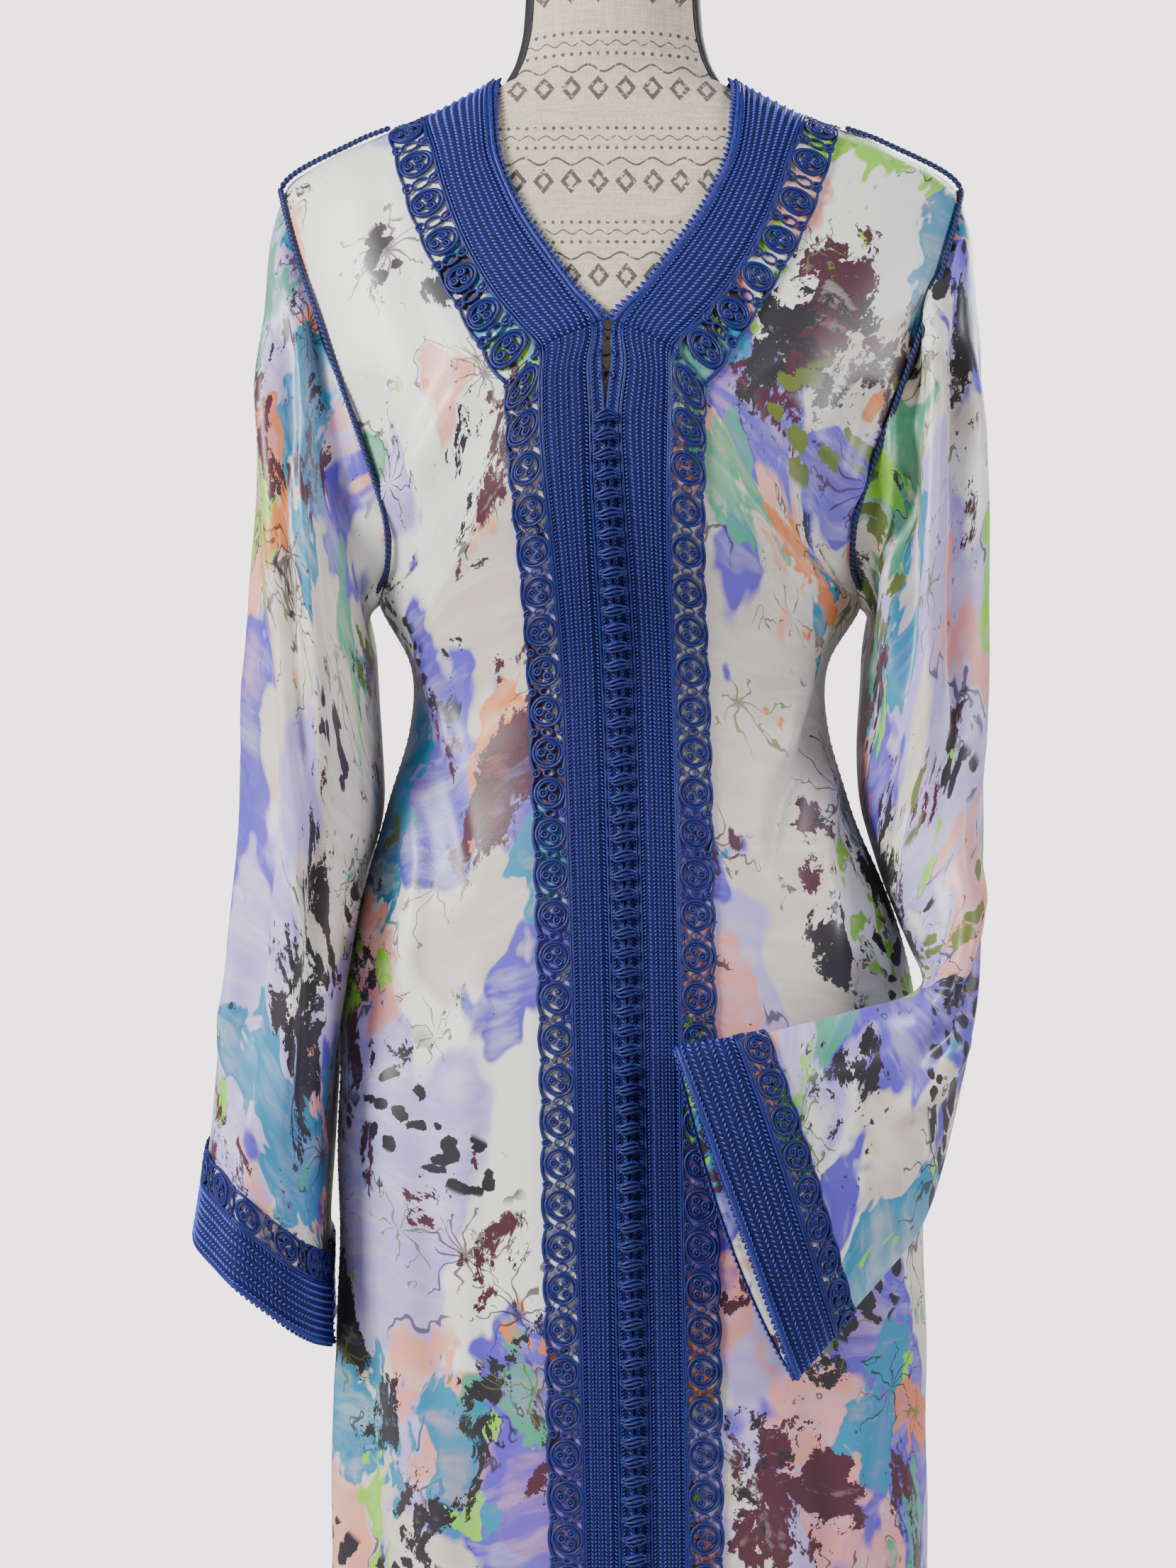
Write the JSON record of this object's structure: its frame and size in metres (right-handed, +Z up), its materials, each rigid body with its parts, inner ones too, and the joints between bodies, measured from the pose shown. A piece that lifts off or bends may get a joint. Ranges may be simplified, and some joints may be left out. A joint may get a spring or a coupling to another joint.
{
  "type": "moroccan kaftan on a dress form",
  "caption": "Long-sleeved full-length kaftan of thin satin with braid, openwork lace and a knotted button front, worn on a limbless dress form with a round stand.",
  "frame": {"origin": "centre of the stand base's underside, on the floor", "axes": "+Z up; the garment's front faces -Y; +X is the wearer's left"},
  "size_m": [0.4992, 0.344, 1.5375],
  "materials": {
    "satin": "satin with a soft printed wash",
    "braid": "blue herringbone braid",
    "lace": "blue corded openwork",
    "knot": "blue knotted cord",
    "piping": "dark blue cord",
    "linen": "linen cover",
    "wood": "waxed",
    "metal": "satin black"
  },
  "bodies": {
    "root": {"front_right": "satin", "front_left": "satin", "back": "satin", "sleeve_right": "satin", "sleeve_left": "satin", "braid_front_right": "braid", "braid_front_left": "braid", "braid_neck_right": "braid", "braid_neck_left": "braid", "braid_neck_back": "braid", "cuff_braid_right": "braid", "cuff_braid_left": "braid", "lace_front_right": "lace", "lace_front_left": "lace", "lace_neck_right": "lace", "lace_neck_left": "lace", "lace_neck_back": "lace", "cuff_lace_right_front": "lace", "cuff_lace_right_back": "lace", "cuff_lace_left_front": "lace", "cuff_lace_left_back": "lace", "button_strip": "knot", "armhole_cord_right": "piping", "armhole_cord_left": "piping", "shoulder_cord_right": "piping", "shoulder_cord_left": "piping", "form_torso": "linen", "form_neck_cap": "wood", "stand_pole": "metal", "stand_base": "metal"}
  },
  "joints": []
}
